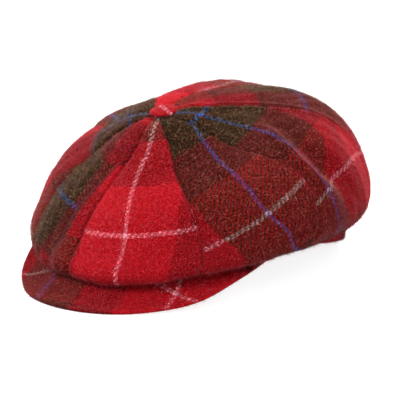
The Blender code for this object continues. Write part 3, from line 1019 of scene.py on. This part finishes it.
# %% Crown panels
PANEL_COLUMNS = 91
PANEL_ROWS = 171
SEAM_CROWDING = 0.65
SEAM_SLIT = 0.01 * MM
even = np.linspace(0, 1, PANEL_COLUMNS)
crowded = 0.5 - 0.5 * np.cos(math.pi * even)
columns = (1 - SEAM_CROWDING) * even + SEAM_CROWDING * crowded
down_shares = PANEL_TIP_SHARE + (1 - PANEL_TIP_SHARE) * np.linspace(0, 1, PANEL_ROWS)
part, share = np.meshgrid(columns, down_shares)
for panel in range(PANEL_COUNT):
    outer, across, down = crown_panel(panel, part, share)
    normal = grid_normals(outer)
    cloth_map = cloth_on_panel(panel, across, down)
    inner = outer - CLOTH_THICKNESS * normal
    length = path_length(outer[:, PANEL_COLUMNS // 2])
    widths = path_length(outer.swapaxes(0, 1))
    print(f"panel {panel + 1} is cut {length:.0f} mm long and {widths.max():.0f} mm wide")
    for side, inward in ((0, 1), (-1, -2)):
        shift = unit(outer[:, inward] - outer[:, side]) * SEAM_SLIT
        outer[:, side] += shift
        inner[:, side] += shift
    points = np.concatenate([outer.reshape(-1, 3), inner.reshape(-1, 3)])
    maps = np.concatenate([cloth_map.reshape(-1, 2)] * 2)
    add_piece(f"cloth_panel_{panel + 1}", points, slab_faces(*part.shape), maps, panel_cloth,
              f"crown_panel_{panel + 1}")
    add_nap(f"panel_nap_{panel + 1}", outer, cloth_map, nap_wool, panel)
    add_nap(f"panel_hair_{panel + 1}", outer, cloth_map, bright_wool,
            50 + panel, True)

# %% [markdown]
# ## The headband
# The band is a strip of the same cloth folded along its lower rim. Carried round the oval is a
# profile with a rounded fold below, so that no sharp edge shows where it meets the table.

# %% Headband
BAND_COLUMNS = 400
BAND_WAVE = 0.15 * MM
BAND_SLACK = 0.1 * MM
BAND_CLOTH_START = np.array([38.0, 30.0]) * MM
BAND_ROWS_SEEN = slice(4, 20)
round_angle = np.linspace(0, 2 * math.pi, BAND_COLUMNS + 1)
fold = np.linspace(0, math.pi, 9)
half_thick = BAND_THICKNESS / 2
profile = np.concatenate([
    [(0.0, lift) for lift in np.linspace(BAND_HEIGHT, half_thick, 12)[:-1]],
    np.stack([half_thick * (np.cos(fold) - 1), half_thick * (1 - np.sin(fold))], -1),
    [(-BAND_THICKNESS, lift) for lift in np.linspace(half_thick, BAND_HEIGHT, 12)[1:]],
])
profile = np.concatenate([profile, profile[:1]])
turns, steps = np.meshgrid(round_angle, np.arange(len(profile)))
wave = BAND_WAVE * np.sin(14 * turns) * np.sin(5 * turns + 1)
grow = profile[steps, 0] - BAND_SLACK
band_points = band_point(turns, grow + wave, profile[steps, 1]) + CAD_SHIFT
ring = np.linalg.norm(np.diff(band_points[0], axis=0), axis=-1)
around = np.concatenate([[0.0], np.cumsum(ring)])
fall = np.concatenate([[0.0], np.cumsum(np.linalg.norm(np.diff(profile, axis=0), axis=-1))])
band_map = np.stack(np.meshgrid(around, fall), -1) + BAND_CLOTH_START
print(f"band {around[-1] / MM:.0f} mm round and {BAND_HEIGHT / MM:.0f} mm high")
headband = add_piece("cloth_headband", band_points.reshape(-1, 3), grid_quads(*turns.shape),
                     band_map.reshape(-1, 2), band_cloth, "headband")
seen = BAND_ROWS_SEEN
add_nap("headband_nap", band_points[seen], band_map[seen], nap_wool, 21)
add_nap("headband_hair", band_points[seen], band_map[seen], bright_wool, 22, True)

# %% [markdown]
# ## The peak
# The peak is a stiff board with cloth drawn tight over it. Its top is ruled from the band out to
# the free edge and sags a little in between, and its edge is rolled. The same grid goes on round
# the roll and back along the underside, so the cloth has no seam in front, and a strip of faces
# from top to underside closes each end. The free edge is a curve through the points of a table:
# half width, reach and height, as shares of the peak's own half width and reach.

# %% Peak
PEAK_HALF_WIDTH = 94.5 * MM
PEAK_REACH = 137.8 * MM
PEAK_THICKNESS = 2.1 * MM
PEAK_SAG = 6.5 * MM
PEAK_HALF_ANGLE = math.radians(72.0)
PEAK_SEAM_GAP = 0.4 * MM
PEAK_SEAM_DROP = 0.2 * MM
PEAK_COLUMNS = 201
PEAK_ROWS = 41
PEAK_ROWS_KEPT = 38
PEAK_ROLL_STEPS = 12
PEAK_SIDE_CROWDING = 0.92
PEAK_EDGE = np.array([
    (0.000, 1.000, 0.0170),
    (0.180, 0.985, 0.0160),
    (0.353, 0.939, 0.0155),
    (0.520, 0.857, 0.0175),
    (0.661, 0.769, 0.0280),
    (0.830, 0.617, 0.0610),
    (0.925, 0.468, 0.1220),
    (0.962, 0.363, 0.1580),
    (0.960, 0.272, 0.1770),
    (0.940, 0.178, 0.1910),
    (0.925, 0.124, 0.2010),
])


def peak_edge(side):
    """The free edge: a spline through the table's points, mirrored, from -1 to +1."""
    half = PEAK_EDGE * np.array([PEAK_HALF_WIDTH, -PEAK_REACH, PEAK_REACH])
    whole = np.concatenate([half[:0:-1] * np.array([-1, 1, 1]), half])
    return chord_spline(np.broadcast_to(whole, side.shape + whole.shape), (side + 1) / 2)


def peak_top(side, out):
    """Straight lines from band to edge, less the sag, which is deepest halfway out."""
    near = band_point(side * PEAK_HALF_ANGLE, PEAK_SEAM_GAP, -PEAK_SEAM_DROP)
    far = peak_edge(side)
    mix = out[:, None, None]
    surface = near[None] * (1 - mix) + far[None] * mix
    surface[..., 2] -= (PEAK_SAG * 4 * out * (1 - out))[:, None] * (1 - side[None] ** 2)
    return surface


side = np.sin(np.linspace(-math.pi / 2, math.pi / 2, PEAK_COLUMNS) * PEAK_SIDE_CROWDING)
side = side / side[-1]
top = peak_top(side, np.linspace(0, 1, PEAK_ROWS))
print(f"peak {path_length(top[:, PEAK_COLUMNS // 2]):.0f} mm deep in front and",
      f"{path_length(top[-1]):.0f} mm along its free edge")

# %% [markdown]
# ## The peak's rolled edge
# The board's middle layer lies half a thickness below the top. The upper and the lower side are
# that layer moved out by half a thickness each way, and between them the edge is a half circle
# of the same radius.

# %% Peak cloth
peak_normal = grid_normals(top)
half_thick = PEAK_THICKNESS / 2
core = top - half_thick * peak_normal
outward = unit(core[-1] - core[-2])
core_edge = core[-1] - outward * half_thick
roll = np.linspace(0, math.pi, PEAK_ROLL_STEPS)[1:-1, None, None]
rim = core_edge + half_thick * (np.cos(roll) * peak_normal[-1] + np.sin(roll) * outward)
upper = core[:PEAK_ROWS_KEPT] + half_thick * peak_normal[:PEAK_ROWS_KEPT]
upper_last = core_edge + half_thick * peak_normal[-1]
lower_last = core_edge - half_thick * peak_normal[-1]
lower = core[:PEAK_ROWS_KEPT] - half_thick * peak_normal[:PEAK_ROWS_KEPT]
peak_points = [upper, upper_last[None], rim, lower_last[None], lower[::-1], upper[:1]]
peak_points = np.concatenate(peak_points) + CAD_SHIFT

PEAK_LINE_LEAN = 0.30
PEAK_LINE_FRONT = 105
PEAK_LINE_SIDE = 67.3
PEAK_LINE_CURVE = 0.001
PEAK_CROSS_FRONT = 98
PEAK_CROSS_LEAN = 0.136
PEAK_CROSS_STRETCH = 1.06
PEAK_ROWS_SEEN = 50


def cloth_on_peak(points):
    """Cloth coordinates over the peak, from the two marked lines of the check in plan."""
    x, y = points[..., 0] / MM, points[..., 1] / MM
    lean = x + PEAK_LINE_LEAN * (y + PEAK_LINE_FRONT) - PEAK_LINE_SIDE
    u = lean - PEAK_LINE_CURVE * lean ** 2
    v = (y + PEAK_CROSS_FRONT - PEAK_CROSS_LEAN * x) * PEAK_CROSS_STRETCH
    return np.stack([u, -v], -1) * MM


peak_map = cloth_on_peak(peak_points)
index = np.arange(peak_map[..., 0].size).reshape(peak_map.shape[:2])
above = np.arange(len(index) // 2 - 1)
below = len(index) - 2 - above
ends = [np.stack([end[above], end[above + 1], end[below - 1], end[below]], -1)
        for end in index.T[[0, -1]]]
peak_faces = np.concatenate([grid_quads(*index.shape)] + ends)
peak = add_piece("cloth_peak", peak_points.reshape(-1, 3), peak_faces,
                 peak_map.reshape(-1, 2), peak_cloth, "peak")
seen = slice(PEAK_ROWS_SEEN)
add_nap("peak_nap", peak_points[seen], peak_map[seen], nap_wool, 31)
add_nap("peak_hair", peak_points[seen], peak_map[seen], bright_wool, 32, True)

# %% [markdown]
# ## The button
# The button is a round metal shell with a disc of cloth gathered over it. The dome is a profile
# turned round its axis, with shallow pleats that grow towards the rim, where the cloth is drawn
# together. A squashed sphere would be quicker but has no rim. On the photographed cap the cover
# has slipped a little back and aside and lies flatter than its seat, so it has its own tilt and
# place.

# %% Button
BUTTON_COLUMNS = 96
DOME_STEPS = 30
PLEAT_COUNT = 9
PLEAT_DEPTH = 0.35 * MM
COVER_RADIUS = 10.6 * MM
COVER_HEIGHT = 3.0 * MM
COVER_TILT = math.radians(11.0)
COVER_BACK = 4.5 * MM
COVER_ASIDE = 1.8 * MM
COVER_LIFT = 0.5 * MM
BUTTON_GRAIN = math.radians(64.0)
BUTTON_CLOTH_ACROSS = -1.0 * MM
BUTTON_CLOTH_DOWN = 50.0 * MM
DOME_PROFILE = np.array([(0.0, 1.0, 0.0), (0.45, 0.95, 0.0), (0.78, 0.78, 0.0), (0.97, 0.45, 0.0),
                         (0.99, 0.18, 0.0), (0.9, 0.0, 0.0)])
rows = np.broadcast_to(DOME_PROFILE, (DOME_STEPS,) + DOME_PROFILE.shape)
dome = chord_spline(rows, np.linspace(0, 1, DOME_STEPS))[:, :2]
disc = 2 * path_length(dome * np.array([COVER_RADIUS, COVER_HEIGHT]))
print(f"the cloth for the button is a disc {disc:.0f} mm across")
dome = np.concatenate([dome, [(0.5, 0.0), (0.0, 0.0)]])
around = np.linspace(0, 2 * math.pi, BUTTON_COLUMNS + 1)
turns, steps = np.meshgrid(around, np.arange(len(dome)))
radius = dome[steps, 0]
pleat = PLEAT_DEPTH * radius ** 6 * np.sin(PLEAT_COUNT * turns + np.sin(3 * turns))
out = radius * COVER_RADIUS - np.abs(pleat)
local_up = dome[steps, 1] * COVER_HEIGHT
behind = np.array([0.0, math.cos(COVER_TILT), math.sin(COVER_TILT)])
upward = np.array([0.0, -math.sin(COVER_TILT), math.cos(COVER_TILT)])
seat = np.array([0.0, -BUTTON_FORWARD, BUTTON_SEAT_HEIGHT]) + CAD_SHIFT
seat = seat + behind * COVER_BACK + upward * COVER_LIFT + np.array([COVER_ASIDE, 0.0, 0.0])
button_points = (seat + (out * np.sin(turns))[..., None] * np.array([1.0, 0, 0])
                 - (out * np.cos(turns))[..., None] * behind + local_up[..., None] * upward)
button_map = np.stack([out * np.sin(turns - BUTTON_GRAIN) + BUTTON_CLOTH_ACROSS,
                       out * np.cos(turns - BUTTON_GRAIN) + BUTTON_CLOTH_DOWN], -1)
button = add_piece("cloth_button", button_points.reshape(-1, 3), grid_quads(*turns.shape),
                   button_map.reshape(-1, 2), button_cloth, "button")

# %% [markdown]
# ## Close the round pieces and finish
# The band, the peak and the button were grids whose first and last lines lie on each other, and
# the button's poles are many points in one place. Merging those points closes them.

# %% Close and finish
import bmesh


def close_up(thing, distance=0.01 * MM):
    """Merges points that lie on each other, and turns all faces outwards."""
    work = bmesh.new()
    work.from_mesh(thing.data)
    bmesh.ops.remove_doubles(work, verts=work.verts, dist=distance)
    bmesh.ops.recalc_face_normals(work, faces=work.faces)
    loose = sum(1 for edge in work.edges if not edge.is_manifold)
    work.to_mesh(thing.data)
    work.free()
    print(thing.name, "open edges", loose)


for thing in (headband, peak, button):
    close_up(thing)
